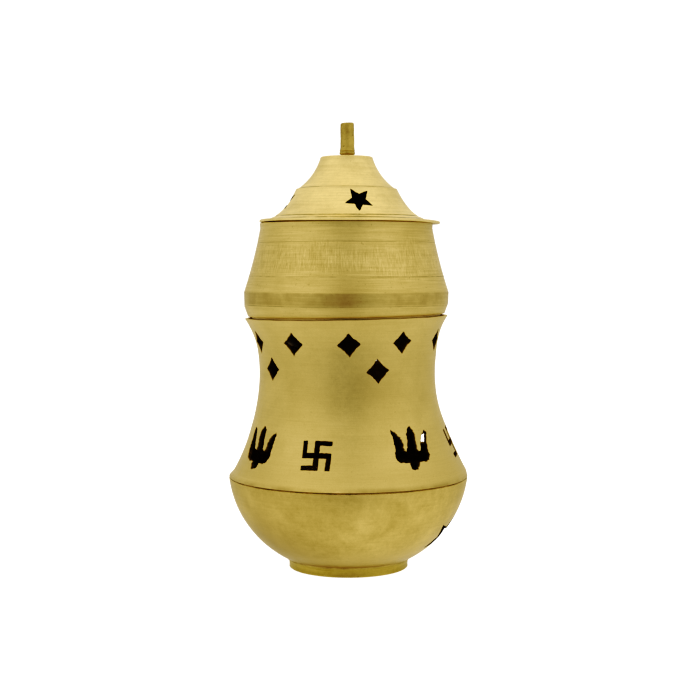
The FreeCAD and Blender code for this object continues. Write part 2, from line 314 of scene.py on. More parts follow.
def saw_tool(
    shell, outline, turn, place, lean, outside, reach=SAW_REACH, chamfer=FILED_EDGE, aside=None
):
    """Adds a prism to the shell bmesh: the outline, pushed outward through the wall at a place.

    place is (radius, height) of the opening's middle and lean how far its direction tips up. aside
    tells how far off the axis the wall is at a height.
    """
    radius, height = place
    face_turn, tip = math.radians(turn), math.radians(lean)
    right = Vector((math.cos(face_turn), math.sin(face_turn), 0))
    level = Vector((math.sin(face_turn), -math.cos(face_turn), 0))
    out = level * math.cos(tip) + Vector((0, 0, math.sin(tip)))
    up = Vector((0, 0, math.cos(tip))) - level * math.sin(tip)
    middle = level * radius + Vector((0, 0, height))

    def on(point, depth):
        return middle + right * point.x + up * point.y + out * depth

    def surface_depth(point):
        depth = 0.0
        for _ in range(12):
            spot = on(point, depth)
            across = spot.x - aside(spot.z) if aside else spot.x
            depth -= math.hypot(across, spot.y) - radius_at(outside, spot.z)
        return depth

    area = sum(a.x * b.y - b.x * a.y for a, b in zip(outline, outline[1:] + outline[:1]))
    if area < 0:
        outline = outline[::-1]
    depths = [max(reach[0] + 1.5, min(reach[1] - 0.5, surface_depth(p))) for p in outline]
    wide = grown(outline, chamfer * 1.5)
    rings = (
        [on(p, reach[0]) for p in outline],
        [on(p, d - chamfer) for p, d in zip(outline, depths)],
        [on(p, d + chamfer * 0.5) for p, d in zip(wide, depths)],
        [on(p, reach[1]) for p in wide],
    )
    made = [[shell.verts.new(p * MM) for p in ring] for ring in rings]
    count = len(outline)
    for lower, upper in zip(made, made[1:]):
        for i in range(count):
            n = (i + 1) % count
            shell.faces.new((lower[i], lower[n], upper[n], upper[i]))
    shell.faces.new(made[0][::-1])
    shell.faces.new(made[-1])


def saw(piece, add_tools, cut_material):
    """Takes away from the piece every prism that add_tools puts in a bmesh."""
    tools = bmesh.new()
    add_tools(tools)
    bmesh.ops.recalc_face_normals(tools, faces=tools.faces)
    mesh = bpy.data.meshes.new(piece.name + "_saw")
    tools.to_mesh(mesh)
    tools.free()
    mesh.materials.append(cut_material)
    tool = new_object(piece.name + "_saw", mesh)
    cut = piece.modifiers.new("openings", "BOOLEAN")
    cut.operation = "DIFFERENCE"
    cut.solver = "EXACT"
    cut.material_mode = "TRANSFER"
    cut.object = tool
    depsgraph = bpy.context.evaluated_depsgraph_get()
    result = bpy.data.meshes.new_from_object(piece.evaluated_get(depsgraph))
    result.name = piece.name
    piece.modifiers.clear()
    piece.data = result
    bpy.data.objects.remove(tool)
    tidy = bmesh.new()
    tidy.from_mesh(result)
    bmesh.ops.dissolve_degenerate(tidy, dist=1e-7, edges=tidy.edges)
    tidy.to_mesh(result)
    tidy.free()


# -------- materials


def node(tree, kind, inputs=None, **settings):
    """Adds a node. inputs maps a socket to a value or to the socket that feeds it."""
    made = tree.nodes.new(kind)
    for name, value in settings.items():
        setattr(made, name, value)
    for name, value in (inputs or {}).items():
        if isinstance(value, bpy.types.NodeSocket):
            tree.links.new(value, made.inputs[name])
        else:
            made.inputs[name].default_value = value
    return made


def maths(tree, operation, first, second=0.0):
    return node(tree, "ShaderNodeMath", {0: first, 1: second}, operation=operation).outputs[0]


def times(tree, first, second):
    return maths(tree, "MULTIPLY", first, second)


def plus(tree, first, second):
    return maths(tree, "ADD", first, second)


def vectors(tree, operation, inputs, output="Vector"):
    return node(tree, "ShaderNodeVectorMath", inputs, operation=operation).outputs[output]


def spread(tree, value, low_end, high_end, new_low=0.0, new_high=1.0):
    """The value's range stretched over a new range, and held within it."""
    inputs = {"Value": value, 1: low_end, 2: high_end, 3: new_low, 4: new_high}
    return node(tree, "ShaderNodeMapRange", inputs, clamp=True).outputs[0]


def mixed(tree, share, first, second):
    """Two colours mixed."""
    inputs = {0: share, 6: first, 7: second}
    return node(tree, "ShaderNodeMix", inputs, data_type="RGBA").outputs[2]


def grain(tree, place, size, detail=3.0, roughness=0.55, distortion=0.0):
    """Noise whose lumps are about the given size in mm."""
    inputs = {
        "Vector": place,
        "Scale": 1 / (size * MM),
        "Detail": detail,
        "Roughness": roughness,
        "Distortion": distortion,
    }
    return node(tree, "ShaderNodeTexNoise", inputs).outputs["Fac"]


def colour(red, green, blue):
    return (red, green, blue, 1.0)


def tinted(base, shares):
    """The colour with each of its channels multiplied by its share."""
    return colour(*(channel * share for channel, share in zip(base, shares)))


def streaks(tree, around, along, length, height, detail=2.0):
    """Noise drawn out round the ring, as turning marks are: its lumps' length and height in mm."""
    stretched = vectors(tree, "SCALE", {0: around, "Scale": 1 / (length * MM)})
    rise = times(tree, along, 1 / (height * MM))
    risen = node(tree, "ShaderNodeCombineXYZ", {2: rise}).outputs[0]
    place = vectors(tree, "ADD", {0: stretched, 1: risen})
    inputs = {"Vector": place, "Scale": 1.0, "Detail": detail, "Roughness": 0.6}
    return node(tree, "ShaderNodeTexNoise", inputs).outputs["Fac"]


def within(tree, height, lowest, highest, fade):
    """1 between two heights, falling to 0 over the fade on each side. All in mm."""
    rise = spread(tree, height, (lowest - fade) * MM, (lowest + fade) * MM)
    fall = spread(tree, height, (highest + fade) * MM, (highest - fade) * MM)
    return times(tree, rise, fall)


def weighed(tree, parts, start=0.0):
    """start plus each noise's distance from its middle times its weight."""
    total = start
    for value, weight in parts:
        part = times(tree, maths(tree, "SUBTRACT", value, 0.5), weight)
        total = plus(tree, total, part)
    return total


# the sizes of the brass's patches and specks
BROAD_SIZE = 16.0
CLOUD_SIZE = 5.0
SMALL_SIZE = 1.3
FINE_SIZE = 0.26
PIT_SIZE = 0.9

# the length and height of the marks of turning, and of the belts among them
SHORT_STREAK = (12.0, 0.2)
LONG_STREAK = (26.0, 0.9)
BELT_STREAK = (60.0, 3.2)

# upright brush marks: how closely they stand, how fast they change with height, how the edges of
# their field fade and wander, and how much they show
CROSS_DENSITY = 125.0
CROSS_RISE = 330.0
CROSS_FADE = 1.5
CROSS_WANDER = 0.012
CROSS_TONE = 2.2
CROSS_RELIEF = 1.2

# the noise's range that each effect is drawn from, and the strengths it gives
# the blotches of the darker belts: painted shade and dark reflections, and at a seam its dark joint
BELT_BLOTCHES = (0.36, 0.64, 0.15, 1.0)
# where the painted shade in a groove shows along its line
GROOVE_SHADE_PATCHES = (0.36, 0.62, 0.15, 1.0)
PIT_RANGE = (0.7, 0.77)
# sharp edges painted lighter: a painted highlight
EDGE_HIGHLIGHT_RANGE = (0.53, 0.6, 0.0, 0.3)
# hollows and creases painted darker: painted shade
HOLLOW_SHADE_RANGE = (0.47, 0.4, 0.0, 0.7)
DULL_RANGE = (0.3, 0.7)

# red, green and blue of each effect, as shares of the dark or the light brass
# the darker colour of the belts, patches and hollows: painted shade, and at a seam its dark joint
SHADE_AND_TARNISH = (0.5, 0.42, 0.3)
# the darker colour of grooves and creases: painted shade
GROOVE_SHADE = (0.3, 0.24, 0.12)
PIT_DIRT = (0.4, 0.33, 0.25)
# the colour of the painted highlight on sharp edges
EDGE_HIGHLIGHT_TINT = (1.12, 1.12, 1.25)

# brass keeps its yellow where it is seen at a glancing angle
EDGE_TINT = (1.0, 0.99, 0.9)
RELIEF_DEPTH = 0.03


def cross_marks(tree, flat, height, broad, cross):
    """Upright brush marks between two heights, as a value about 0."""
    around = vectors(tree, "NORMALIZE", {0: flat})
    steps = vectors(tree, "SCALE", {0: around, "Scale": CROSS_DENSITY})
    rise = times(tree, height, CROSS_RISE)
    drop = node(tree, "ShaderNodeCombineXYZ", {2: rise}).outputs[0]
    lifted = vectors(tree, "ADD", {0: steps, 1: drop})
    inputs = {"Vector": lifted, "Scale": 1.0, "Detail": 2.0, "Roughness": 0.7}
    marks = node(tree, "ShaderNodeTexNoise", inputs).outputs["Fac"]
    wander = times(tree, maths(tree, "SUBTRACT", broad, 0.5), CROSS_WANDER)
    inside = within(tree, plus(tree, height, wander), *cross, CROSS_FADE)
    return times(tree, maths(tree, "SUBTRACT", marks, 0.5), inside)


def shade_and_stain_amount(tree, height, broad, cloud, shade_and_stain_belt):
    """How much a darker belt shows, blotchy between two heights: painted shade and dark
    reflections, and at a seam its dark joint.
    """
    lowest, highest, fade, strength = shade_and_stain_belt
    belt = within(tree, height, lowest, highest, fade)
    uneven = weighed(tree, ((broad, 1.0), (cloud, 0.7)), start=0.5)
    blotches = spread(tree, uneven, *BELT_BLOTCHES)
    return times(tree, times(tree, belt, blotches), strength)


def painted_shade_patch_amount(tree, place, painted_shade_patch):
    """How much a patch of painted shade shows: most at its middle, nothing from its reach on."""
    turn, out, middle, reach, strength = painted_shade_patch
    angle = math.radians(turn)
    centre = (out * math.sin(angle) * MM, -out * math.cos(angle) * MM, middle * MM)
    away = vectors(tree, "DISTANCE", {0: place, 1: centre}, "Value")
    near = spread(tree, maths(tree, "DIVIDE", away, reach * MM), 1.0, 0.0)
    return times(tree, times(tree, near, near), strength)


def groove_amount(tree, height, broad, cloud, groove):
    """How much darker a groove is painted, more here and there along the line: painted shade in
    grooves and creases.
    """
    groove_height, width, strength = groove
    away = maths(tree, "ABSOLUTE", maths(tree, "SUBTRACT", height, groove_height * MM))
    line = spread(tree, away, width / 2 * MM, width / 5 * MM)
    uneven = weighed(tree, ((cloud, 1.0), (broad, 1.4)), start=0.5)
    patchy_shade = spread(tree, uneven, *GROOVE_SHADE_PATCHES)
    return times(tree, times(tree, line, patchy_shade), strength)


def brass(
    name,
    light,
    dark,
    roughness=0.42,
    radial=0.0,
    turning=1.0,
    belting=1.0,
    mottle=1.0,
    cross=None,
    grooves=(),
    shade_and_stain_belts=(),
    painted_shade_patches=(),
    pits=0.3,
):
    """Raw turned brass, from dark to light.

    radial says how much the radius counts, beside the height, in where a turned line lies. turning,
    belting and mottle are the strengths of the turned lines, of the wide belts among them and of
    the patches, and pits that of the dark specks. cross is the (lowest, highest) height between
    which upright brush marks cross the turned ones. grooves are (height, width, strength) of lines
    painted darker as shade in grooves and creases. shade_and_stain_belts are (lowest, highest,
    fade, strength) of darker belts, painted shade and dark reflections, and at a seam its dark
    joint.
    painted_shade_patches are (turn, radius, height, reach, strength) of patches of painted shade.
    Sharp edges get a painted highlight, and hollows painted shade.
    """
    material = bpy.data.materials.new(name)
    material.use_nodes = True
    tree = material.node_tree
    tree.nodes.clear()
    place = node(tree, "ShaderNodeTexCoord").outputs["Object"]
    x, y, height = node(tree, "ShaderNodeSeparateXYZ", {0: place}).outputs
    flat = node(tree, "ShaderNodeCombineXYZ", {0: x, 1: y}).outputs[0]
    radius = vectors(tree, "LENGTH", {0: flat}, "Value")
    along = plus(tree, height, times(tree, radius, radial))

    broad = grain(tree, place, BROAD_SIZE, detail=4.0, distortion=0.5)
    cloud = grain(tree, place, CLOUD_SIZE, detail=4.0, roughness=0.6)
    small = grain(tree, place, SMALL_SIZE, detail=4.0, roughness=0.65)
    fine = grain(tree, place, FINE_SIZE, detail=2.0)
    short_streaks = streaks(tree, flat, along, *SHORT_STREAK)
    long_streaks = streaks(tree, flat, along, *LONG_STREAK)
    belts = streaks(tree, flat, along, *BELT_STREAK, detail=3.0)
    tone = weighed(
        tree,
        (
            (short_streaks, 1.0 * turning),
            (long_streaks, 0.5 * turning),
            (belts, 0.5 * turning * belting),
            (broad, 1.0 * mottle),
            (cloud, 0.7 * mottle),
            (small, 0.6 * mottle),
            (fine, 0.6),
        ),
        start=0.5,
    )
    relief = weighed(
        tree,
        (
            (short_streaks, 1.1 * turning),
            (long_streaks, 0.4 * turning),
            (small, 0.4),
            (fine, 0.6),
        ),
    )
    if cross:
        marks = cross_marks(tree, flat, height, broad, cross)
        tone = plus(tree, tone, times(tree, marks, CROSS_TONE))
        relief = plus(tree, relief, times(tree, marks, CROSS_RELIEF))

    share = node(tree, "ShaderNodeClamp", {"Value": tone}).outputs[0]
    base = mixed(tree, share, colour(*dark), colour(*light))

    # the darker colour that belts, patches and hollows mix in: painted shade, and at a seam its
    # dark joint
    shade_and_tarnish = tinted(dark, SHADE_AND_TARNISH)
    for shade_and_stain_belt in shade_and_stain_belts:
        base = mixed(tree, shade_and_stain_amount(tree, height, broad, cloud, shade_and_stain_belt), base, shade_and_tarnish)
    # patches of painted shade: the lens's dark reflection and the shaded floor's darker reflection
    for painted_shade_patch in painted_shade_patches:
        base = mixed(tree, painted_shade_patch_amount(tree, place, painted_shade_patch), base, shade_and_tarnish)
    # grooves and creases painted darker: painted shade
    for groove in grooves:
        amount = groove_amount(tree, height, broad, cloud, groove)
        base = mixed(tree, amount, base, tinted(dark, GROOVE_SHADE))

    specks = spread(tree, grain(tree, place, PIT_SIZE, detail=1.0), *PIT_RANGE)
    pit = times(tree, specks, pits)
    base = mixed(tree, pit, base, tinted(dark, PIT_DIRT))
    bend = node(tree, "ShaderNodeNewGeometry").outputs["Pointiness"]
    # sharp edges painted lighter as a highlight
    base = mixed(tree, spread(tree, bend, *EDGE_HIGHLIGHT_RANGE), base, tinted(light, EDGE_HIGHLIGHT_TINT))
    # hollows and creases painted darker as shade
    base = mixed(tree, spread(tree, bend, *HOLLOW_SHADE_RANGE), base, shade_and_tarnish)

    uneven = weighed(tree, ((small, 1.0), (cloud, 0.6)), start=0.5)
    dull = spread(tree, uneven, *DULL_RANGE, roughness - 0.05, roughness + 0.06)
    relief = maths(tree, "SUBTRACT", relief, pit)
    inputs = {"Height": relief, "Strength": 1.0, "Distance": RELIEF_DEPTH * MM}
    bump = node(tree, "ShaderNodeBump", inputs)
    shader = node(
        tree,
        "ShaderNodeBsdfPrincipled",
        {
            "Base Color": base,
            "Roughness": dull,
            "Metallic": 1.0,
            "Specular Tint": colour(*EDGE_TINT),
            "Normal": bump.outputs[0],
        },
    )
    output = node(tree, "ShaderNodeOutputMaterial")
    tree.links.new(shader.outputs[0], output.inputs[0])
    return material


LIGHT_BRASS = (0.74, 0.59, 0.26)
DARK_BRASS = (0.49, 0.375, 0.145)

# the heights of the lines that the lathe tool left
SCRIBED_HEIGHTS = (100.2, 111.6)
BAND_FOOT_LINE = 90.6
LID_GROOVES = (119.68, 120.6)
STEP_HEIGHT = 130.1

foot_outside = brass(
    "foot_brass_outside",
    light=(0.69, 0.53, 0.17),
    dark=(0.37, 0.27, 0.06),
    mottle=1.3,
    # darker in blotches all over the foot ring
    shade_and_stain_belts=((-1, 6, 0.5, 0.3),),
)
stand_outside = brass(
    "stand_brass_outside",
    light=LIGHT_BRASS,
    dark=DARK_BRASS,
    turning=0.36,
    belting=0.6,
    mottle=0.6,
    pits=0.15,
    # painted shade: the lens's dark reflection on the waist's front, right of middle, and a faint
    # patch to its left
    painted_shade_patches=((16, 28.0, 64.0, 17.0, 0.3), (-30, 28.0, 62.0, 14.0, 0.12)),
    # the seam's dark joint, and a faint darker belt on the skirt above it
    shade_and_stain_belts=(
        (SEAM_HEIGHT - 1, SEAM_HEIGHT + 1.2, 0.6, 0.5),
        (SEAM_HEIGHT, SEAM_HEIGHT + 8, 4.0, 0.14),
    ),
)
bowl_outside = brass(
    "bowl_brass_outside",
    light=(0.74, 0.58, 0.24),
    dark=(0.47, 0.35, 0.12),
    radial=0.7,
    turning=0.45,
    belting=0.7,
    mottle=1.4,
    pits=0.2,
    # painted shade: the shaded floor's darker reflection low on the left, and the lens's dark
    # reflection on the front
    painted_shade_patches=((-50, 33.0, 11.0, 38.0, 0.65), (0, 38.0, 28.0, 16.0, 0.12)),
    # painted shade: a darker reflection below the seam and towards the bottom
    shade_and_stain_belts=(
        (SEAM_HEIGHT - 3, SEAM_HEIGHT + 1, 2.5, 0.12),
        (BASE_HEIGHT - 1, BASE_HEIGHT + 7, 4.0, 0.3),
    ),
)
cup_outside = brass(
    "cup_brass_outside",
    light=LIGHT_BRASS,
    dark=DARK_BRASS,
    turning=1.15,
    belting=0.3,
    mottle=0.7,
    cross=(101, 111),
    # painted shade along the scribed lines and along the band's foot
    grooves=(
        (SCRIBED_HEIGHTS[0], 0.36, 0.6),
        (SCRIBED_HEIGHTS[1], 0.3, 0.4),
        (BAND_FOOT_LINE, 0.3, 0.6),
    ),
    # painted shade: the upright band's dark reflection of the horizon
    shade_and_stain_belts=((90.9, 95.1, 0.3, 0.45),),
    # painted shade: the lens's dark reflection down the front, on the band and near the rim
    painted_shade_patches=((0, 34.0, 93.0, 13.0, 0.45), (0, 29.0, 113.0, 9.0, 0.15)),
)
lid_outside = brass(
    "lid_brass_outside",
    light=(0.87, 0.715, 0.34),
    dark=(0.6, 0.475, 0.2),
    radial=-0.7,
    turning=0.95,
    pits=0.15,
    # painted shade in the two grooves above the brim and in the crease of the step
    grooves=((LID_GROOVES[0], 0.42, 0.8), (LID_GROOVES[1], 0.42, 0.8), (STEP_HEIGHT, 0.5, 0.55)),
)
stem_rough = brass(
    "stem_brass_rough",
    light=(0.62, 0.48, 0.18),
    dark=(0.32, 0.23, 0.07),
    roughness=0.5,
    turning=0.3,
    mottle=2.0,
    pits=0.7,
)
inside_brass = brass(
    "inside_brass", light=(0.72, 0.47, 0.13), dark=(0.34, 0.2, 0.04), roughness=0.5, mottle=1.6
)
cup_inside_brass = brass(
    "cup_brass_inside", light=(0.6, 0.45, 0.16), dark=(0.34, 0.24, 0.07), mottle=1.4
)
# painted shade: the sawn walls of the waist's openings are made dark brass
cut_shade_brass = brass(
    "sawn_wall_painted_shade",
    light=(0.42, 0.29, 0.08),
    dark=(0.12, 0.075, 0.018),
    roughness=0.55,
    turning=0.5,
    mottle=1.8,
)
# painted shade: the sawn walls of the stars in the bowl and lid are made near-black
star_shade_brass = brass(
    "star_wall_painted_shade", light=(0.1, 0.065, 0.02), dark=(0.03, 0.02, 0.008), roughness=0.7, mottle=1.6
)
solder_brass = brass(
    "solder_brass",
    light=(0.3, 0.21, 0.06),
    dark=(0.08, 0.05, 0.012),
    roughness=0.5,
    turning=0.0,
    mottle=2.0,
    pits=0.7,
)
dish_brass = brass(
    "dish_brass_dark",
    light=(0.52, 0.38, 0.14),
    dark=(0.2, 0.13, 0.05),
    roughness=0.48,
    radial=0.7,
    mottle=1.8,
)


# -------- foot ring, bowl and their joints

STAR_INNER_SHARE = 0.45

# the star vent in the bowl's side: its size and tilt, and the turn, place and lean of its middle
VENT_RADIUS = 8.8
VENT_TILT = -18
VENT_TURN = 73.0
VENT_PLACE = (33.0, 12.6)
VENT_LEAN = -42.0
VENT_REACH = (-5.0, 6.0)

BOWL_BULGE = 36.4
BASE_RADIUS = 17.0
SEAM_LIP = 0.36
SEAM_GAP = 0.04
FOOT_WIDTH = 2.3
BEAD_SEGMENTS = 400
BEAD_SIDES = 10


def bowl_form(point):
    wave = ripple(point, 22.0, 0.07, seed=3.1) + ripple(point, 6.0, 0.02, seed=5.2)
    moved = pushed_out(point, wave * ease(point.z, BASE_HEIGHT, BASE_HEIGHT + 8))
    return moved + Vector((stand_lean(point.z), 0, 0))


def bowl_outline():
    return trace(
        [
            (0, BASE_HEIGHT),
            (BASE_RADIUS, BASE_HEIGHT, BOWL_BULGE),
            (SEAM_RADIUS - 0.02, SEAM_HEIGHT - SEAM_LIP),
            (SEAM_RADIUS - SEAM_LIP, SEAM_HEIGHT - SEAM_GAP),
        ]
    )


def star(radius, tilt):
    """The corners of a five-pointed star, which stands on two points when its tilt is 0."""
    corners = []
    for step in range(10):
        angle = math.radians(90 + tilt + 36 * step)
        reach = radius * STAR_INNER_SHARE if step % 2 else radius
        corners.append((reach * math.cos(angle), reach * math.sin(angle)))
    return corners


def make_bowl():
    outside = bowl_outline()
    inside = thin_out(inside_of(outside, WALL), INNER_STEP)
    inside[0].x = SEAM_RADIUS - SEAM_LIP - WALL
    inside[0].y = SEAM_HEIGHT - SEAM_GAP
    inside.append(Vector((0, BASE_HEIGHT + WALL)))
    runs = [(outside, 0), (inside, 1)]
    piece = lathe("bowl_shell", runs, [bowl_outside, inside_brass], bowl_form)

    def vent(tools):
        outline = hand_sawn(star(VENT_RADIUS, VENT_TILT), "vent", jitter=0.1, step=1.0)
        saw_tool(
            tools,
            outline,
            VENT_TURN,
            VENT_PLACE,
            VENT_LEAN,
            outside,
            reach=VENT_REACH,
            chamfer=0.15,
            aside=stand_lean,
        )

    saw(piece, vent, star_shade_brass)
    smooth(piece)
    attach(piece, "stand")
    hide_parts("bowl")


def make_foot_ring():
    radius = FOOT_TOP_RADIUS
    outside = trace(
        [
            (radius - FOOT_WIDTH, 0.15),
            (radius - 2.1, 0),
            (radius - 0.65, 0),
            (radius - 0.4, 0.2, -5.0),
            (radius - 0.1, FOOT_TOP_HEIGHT - 0.5),
            (radius, FOOT_TOP_HEIGHT),
            (radius - FOOT_WIDTH, FOOT_TOP_HEIGHT - 0.75),
        ],
        step=0.25,
    )

    def filed(point):
        return pushed_out(point, ripple(point, 9.0, 0.12, seed=8.8) * ease(point.z, 0.2, 2.0))

    piece = lathe("foot_ring_turned", [(outside, 0)], [foot_outside], filed)
    shift_aside(piece, FOOT_LEAN)
    smooth(piece)
    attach(piece, "stand")
    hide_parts("foot_ring")


def bead(name, radius, height, size, seed, lump=0.5, lumps=(), finish=solder_brass):
    """A run of solder round a joint, uneven as it froze. lumps are (turn, width, growth)."""
    mesh = bpy.data.meshes.new(name)
    run = bmesh.new()
    hoops = []
    for i in range(BEAD_SEGMENTS):
        angle = 2 * math.pi * i / BEAD_SEGMENTS
        out = Vector((math.sin(angle), -math.cos(angle), 0))
        thick = size * (1 + lump * noise.noise(out * 9 + Vector((seed, 0, 0))))
        thick *= 1 + lump * 0.5 * noise.noise(out * 40 + Vector((0, seed, 0)))
        for turn, width, growth in lumps:
            away = (math.degrees(angle) - turn + 180) % 360 - 180
            thick *= 1 + growth * math.exp(-((away / width) ** 2))
        hoop = []
        for k in range(BEAD_SIDES):
            side = 2 * math.pi * k / BEAD_SIDES
            lift = Vector((0, 0, 1)) * math.sin(side) * thick
            spot = out * (radius + math.cos(side) * thick) + lift + Vector((0, 0, height))
            hoop.append(run.verts.new(spot * MM))
        hoops.append(hoop)
    for i, hoop in enumerate(hoops):
        following = hoops[(i + 1) % BEAD_SEGMENTS]
        for k in range(BEAD_SIDES):
            n = (k + 1) % BEAD_SIDES
            run.faces.new((hoop[k], following[k], following[n], hoop[n]))
    bmesh.ops.recalc_face_normals(run, faces=run.faces)
    run.to_mesh(mesh)
    run.free()
    mesh.materials.append(finish)
    piece = new_object(name, mesh)
    shift_aside(piece, BOWL_LEAN)
    smooth(piece, 80)
    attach(piece, "stand")


# -------- waist

SKIRT_TOP = (SEAM_RADIUS - 7.7, SEAM_HEIGHT + 17.7)
SKIRT_SWEEP = 87.0
NECK_TOP = (SEAM_RADIUS - 10.5, SEAM_HEIGHT + 42.6)
NECK_SWEEP = 52.1
MOUTH_RADIUS = 34.8
MOUTH_SWEEP = 26.1
MOUTH_LIP = 0.18
MOUTH_TILT = 0.6

# the wall's radius, height and lean where each row of openings runs
UPPER_ROW = (31.4, 78.5, -14)
SECOND_ROW = (30.2, 69.5, 0)
SKIRT_ROW = (35.2, 43.9, 20)

# turn, rise above the row, tilt and size of each diamond
UPPER_DIAMONDS = (
    (-70, -0.3, 0, 1.0),
    (-34.1, -0.2, -3, 0.98),
    (1.1, -0.2, 3, 1.02),
    (35.1, 0.4, 5, 0.98),
    (72.5, 0.3, 0, 1.0),
    (109, 0.0, 2, 1.0),
    (145, 0.1, -3, 1.03),
    (181, -0.2, 1, 0.98),
    (217, 0.2, 4, 1.0),
    (253, -0.3, -2, 1.02),
)
SECOND_DIAMONDS = (
    (-55.2, 0.0, 0, 1.0),
    (19.4, 0.1, 4, 1.03),
    (91, 0.0, -3, 1.0),
    (163, 1.2, 2, 1.0),
    (234, -0.2, 0, 0.98),
)
DIAMOND = ((-3.7, 0), (0, -3.9), (3.7, 0), (0, 3.9))

# the outline of a trident, from the tip of its middle prong and round by the left
TRIDENT = (
    (0.5, 7.2), (-0.3, 6.8), (-1.2, 5.0), (-1.4, 2.9), (-2.2, -0.1), (-2.8, -0.95),
    (-3.6, -0.8), (-3.8, 0.1), (-3.6, 2.0), (-4.2, 3.8), (-5.4, 5.4), (-7.0, 6.7),
    (-6.6, 4.5), (-6.6, 0.6), (-7.2, -2.1), (-7.0, -3.5), (-6.0, -4.4), (-2.5, -4.8),
    (-2.5, -6.9), (-1.4, -7.4), (-0.1, -7.1), (1.0, -5.6), (1.7, -4.7), (4.4, -4.8),
    (5.5, -4.2), (6.5, -2.7), (6.3, -0.4), (6.8, 2.5), (7.6, 5.0), (6.8, 5.6),
    (5.0, 3.9), (4.0, 2.1), (3.1, -1.2), (1.9, -1.2), (1.45, -0.6), (1.8, 2.2),
    (1.8, 4.3), (1.4, 6.0),
)
LEFT_TRIDENT = (
    (0.2, 6.5), (-1.6, 4.8), (-1.9, 1.7), (-1.2, -0.9), (-1.7, -1.7), (-3.2, -1.4),
    (-4.4, 2.0), (-5.3, 4.9), (-7.0, 5.8), (-7.5, 2.6), (-7.6, -2.0), (-6.5, -4.7),
    (-4.4, -5.6), (-1.3, -5.7), (-1.6, -6.7), (-0.6, -8.3), (1.8, -7.8), (2.5, -5.9),
    (4.7, -5.9), (6.2, -4.9), (7.1, -3.3), (6.9, -1.0), (6.9, 1.7), (7.3, 4.0),
    (7.0, 5.0), (5.2, 3.6), (4.2, 1.3), (4.0, -0.9), (3.4, -1.9), (2.1, -1.2),
    (1.6, 2.0), (1.3, 5.5),
)

# turn, rise above the row and outline of each trident
TRIDENTS = (
    (-56.8, 0.7, LEFT_TRIDENT),
    (37.2, 0.6, TRIDENT),
    (125, 0.0, tuple((-x, y) for x, y in TRIDENT)),
    (214, 0.6, TRIDENT),
)

SWASTIKA_REACH = 5.1
SWASTIKA_BAR = 1.75

# turn, rise above the row, tilt and size of each swastika
SWASTIKAS = (
    (-16.2, -1.15, 0, 0.95),
    (80.5, 0.1, 4, 1.0),
    (163, -0.5, 2, 1.0),
    (262, -0.9, -2, 0.98),
)


def swastika():
    """The Hindu sign of good fortune: four bent arms, each a quarter turn from the last."""
    half, reach = SWASTIKA_BAR / 2, SWASTIKA_REACH
    bend = reach - SWASTIKA_BAR * 0.85
    arm = [(half, half), (half, bend), (reach, bend), (reach, reach), (-half, reach)]
    corners = []
    for _ in range(4):
        corners.extend(arm)
        arm = [(-y, x) for x, y in arm]
    return corners


def waist_outline():
    return trace(
        [
            (SEAM_RADIUS - SEAM_LIP, SEAM_HEIGHT + SEAM_GAP),
            (SEAM_RADIUS - 0.02, SEAM_HEIGHT + SEAM_LIP, -SKIRT_SWEEP),
            (*SKIRT_TOP, -NECK_SWEEP),
            (*NECK_TOP, -MOUTH_SWEEP),
            (MOUTH_RADIUS - 0.08, MOUTH_HEIGHT - MOUTH_LIP),
            (MOUTH_RADIUS - 0.1, MOUTH_HEIGHT - 0.06),
            (MOUTH_RADIUS - MOUTH_LIP, MOUTH_HEIGHT),
        ]
    )


def waist_form(point):
    """The wall waves a little, and the mouth is tilted and its lip uneven."""
    wave = ripple(point, 24.0, 0.08, seed=1.3) + ripple(point, 7.0, 0.02, seed=2.2)
    tilt = MOUTH_TILT * point.x / MOUTH_RADIUS * ease(point.z, NECK_TOP[1], MOUTH_HEIGHT)
    lip_wave = ripple(point, 8.0, 0.12, seed=4.4) * ease(point.z, MOUTH_HEIGHT - 3, MOUTH_HEIGHT)
    return pushed_out(point, wave) + Vector((stand_lean(point.z), 0, tilt + lip_wave))


def make_waist():
    outside = waist_outline()
    inside = thin_out(inside_of(outside[2:-3], WALL), INNER_STEP)
    inside.insert(0, Vector((MOUTH_RADIUS - WALL + 0.1, MOUTH_HEIGHT)))
    inside[-1] = Vector((SEAM_RADIUS - SEAM_LIP - WALL, SEAM_HEIGHT + SEAM_GAP))
    runs = [(outside, 0), (inside, 1)]
    piece = lathe("waist_shell", runs, [stand_outside, inside_brass], waist_form)

    def openings(tools):
        def cut(row, turn, rise, outline):
            radius, height, lean = row
            place = (radius, height + rise)
            saw_tool(tools, outline, turn, place, lean, outside, aside=stand_lean)

        for row, diamonds in ((UPPER_ROW, UPPER_DIAMONDS), (SECOND_ROW, SECOND_DIAMONDS)):
            for turn, rise, tilt, share in diamonds:
                corners = turned_and_sized(DIAMOND, tilt, share)
                outline = hand_sawn(corners, f"diamond {turn}", bow=0.22, jitter=0.14)
                cut(row, turn, rise, outline)
        for turn, rise, corners in TRIDENTS:
            outline = hand_sawn(corners, f"trident {turn}", jitter=0.18, step=0.5)
            cut(SKIRT_ROW, turn, rise, outline)
        for turn, rise, tilt, share in SWASTIKAS:
            corners = turned_and_sized(swastika(), tilt, share)
            outline = hand_sawn(corners, f"swastika {turn}", step=0.8)
            cut(SKIRT_ROW, turn, rise, outline)

    saw(piece, openings, cut_shade_brass)
    smooth(piece)
    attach(piece, "stand")
    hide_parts("waist")


# -------- cup

